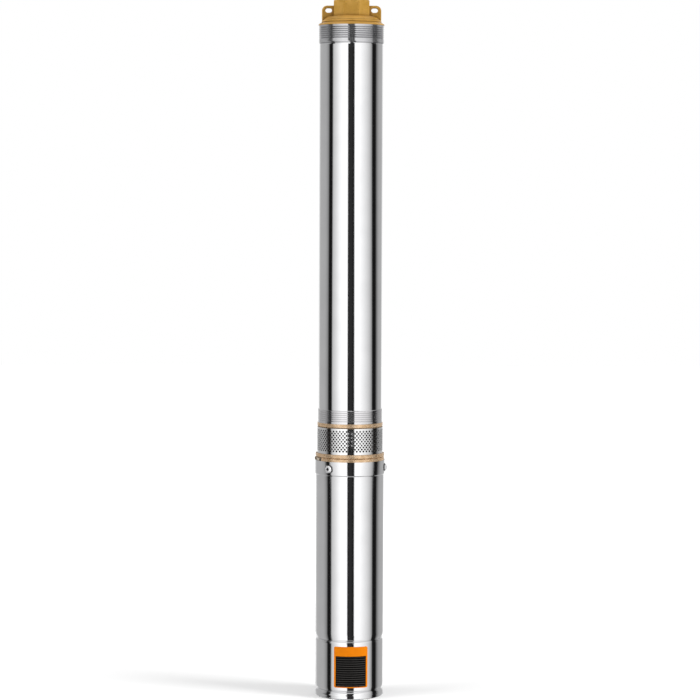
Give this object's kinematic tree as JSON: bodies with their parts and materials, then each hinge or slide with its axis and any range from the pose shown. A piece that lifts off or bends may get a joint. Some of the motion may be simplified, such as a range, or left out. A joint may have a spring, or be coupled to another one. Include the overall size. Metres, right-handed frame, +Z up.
{
  "type": "borehole submersible pump",
  "caption": "Slim stainless borehole pump: oil-filled motor below, perforated suction strainer, multistage pump tube and brass discharge head with rope ears.",
  "frame": {"origin": "centre of the motor foot's flat bottom face", "axes": "+Z up the shaft line towards the discharge, -Y towards the front, +X to the right"},
  "size_m": [0.1018, 0.0983, 0.9823],
  "materials": {
    "stainless": "polished stainless steel, drawn and rolled",
    "strainer_steel": "perforated stainless sheet",
    "screw_steel": "stainless socket screws",
    "head_brass": "cast and machined brass",
    "ring_brass": "machined brass, slightly pink",
    "rubber": "black nitrile",
    "gland_rubber": "grey-brown moulded rubber",
    "impeller_plastic": "glass-filled noryl",
    "bowl_plastic": "moulded acetal",
    "shaft_steel": "ground stainless bar",
    "bearing_steel": "hardened and ground",
    "laminations": "varnished electrical sheet",
    "copper": "enamelled copper wire",
    "cast_alloy": "cast iron",
    "seal_ceramic": "lapped ceramic",
    "seal_carbon": "carbon face in a rubber bellows"
  },
  "bodies": {
    "pump": {"discharge_head": "head_brass", "head_seal_ring": "rubber", "valve_guide": "head_brass", "valve_spring": "shaft_steel", "pump_tube": "stainless", "top_bearing_housing": "bowl_plastic", "top_bearing_bush": "rubber", "suction_casing": "ring_brass", "strainer": "strainer_steel", "suction_bolts": "screw_steel", "motor_bracket": "ring_brass", "cable_gland": "gland_rubber", "shell_screws": "screw_steel", "shaft_seal_stationary": "seal_ceramic", "upper_bearing_outer_ring": "bearing_steel", "motor_shell": "stainless", "stator_core": "laminations", "stator_windings": "copper", "lower_bearing_housing": "cast_alloy", "lower_bearing_outer_ring": "bearing_steel", "diaphragm": "rubber", "base_cover": "cast_alloy", "filler_plug": "head_brass", "diffuser_01": "bowl_plastic", "diffuser_02": "bowl_plastic", "diffuser_03": "bowl_plastic", "diffuser_04": "bowl_plastic", "diffuser_05": "bowl_plastic", "diffuser_06": "bowl_plastic", "diffuser_07": "bowl_plastic", "diffuser_08": "bowl_plastic", "diffuser_09": "bowl_plastic", "diffuser_10": "bowl_plastic", "diffuser_11": "bowl_plastic", "diffuser_12": "bowl_plastic"},
    "rotor": {"rotor_shaft": "shaft_steel", "rotor_core": "laminations", "upper_bearing_inner_ring": "bearing_steel", "lower_bearing_inner_ring": "bearing_steel", "shaft_seal_rotating": "seal_carbon", "sand_slinger": "rubber", "coupling": "shaft_steel", "pump_shaft": "shaft_steel", "shaft_lock_nut": "shaft_steel", "impeller_01": "impeller_plastic", "impeller_02": "impeller_plastic", "impeller_03": "impeller_plastic", "impeller_04": "impeller_plastic", "impeller_05": "impeller_plastic", "impeller_06": "impeller_plastic", "impeller_07": "impeller_plastic", "impeller_08": "impeller_plastic", "impeller_09": "impeller_plastic", "impeller_10": "impeller_plastic", "impeller_11": "impeller_plastic", "impeller_12": "impeller_plastic"},
    "upper_balls": {"upper_bearing_balls": "bearing_steel"},
    "lower_balls": {"lower_bearing_balls": "bearing_steel"},
    "valve": {"valve_poppet": "head_brass", "valve_seal": "rubber"}
  },
  "joints": [
    {"name": "rotor_spin", "type": "hinge", "parent": "pump", "child": "rotor", "pos_m": [0, 0, 0.3], "axis": [0, 0, 1], "continuous": true},
    {"name": "upper_ball_orbit", "type": "hinge", "parent": "pump", "child": "upper_balls", "pos_m": [0, 0, 0.2983], "axis": [0, 0, 1], "continuous": true},
    {"name": "lower_ball_orbit", "type": "hinge", "parent": "pump", "child": "lower_balls", "pos_m": [0, 0, 0.0923], "axis": [0, 0, 1], "continuous": true},
    {"name": "valve_lift", "type": "slide", "parent": "pump", "child": "valve", "axis": [0, 0, 1], "range_m": [0, 0.0065], "stiffness_N_per_m": 300, "springref_m": -0.015, "deforming": ["valve_spring"]}
  ],
  "couplings": [
    {"joint": "upper_ball_orbit", "follows": "rotor_spin", "ratio": 0.3821},
    {"joint": "lower_ball_orbit", "follows": "rotor_spin", "ratio": 0.3825}
  ]
}
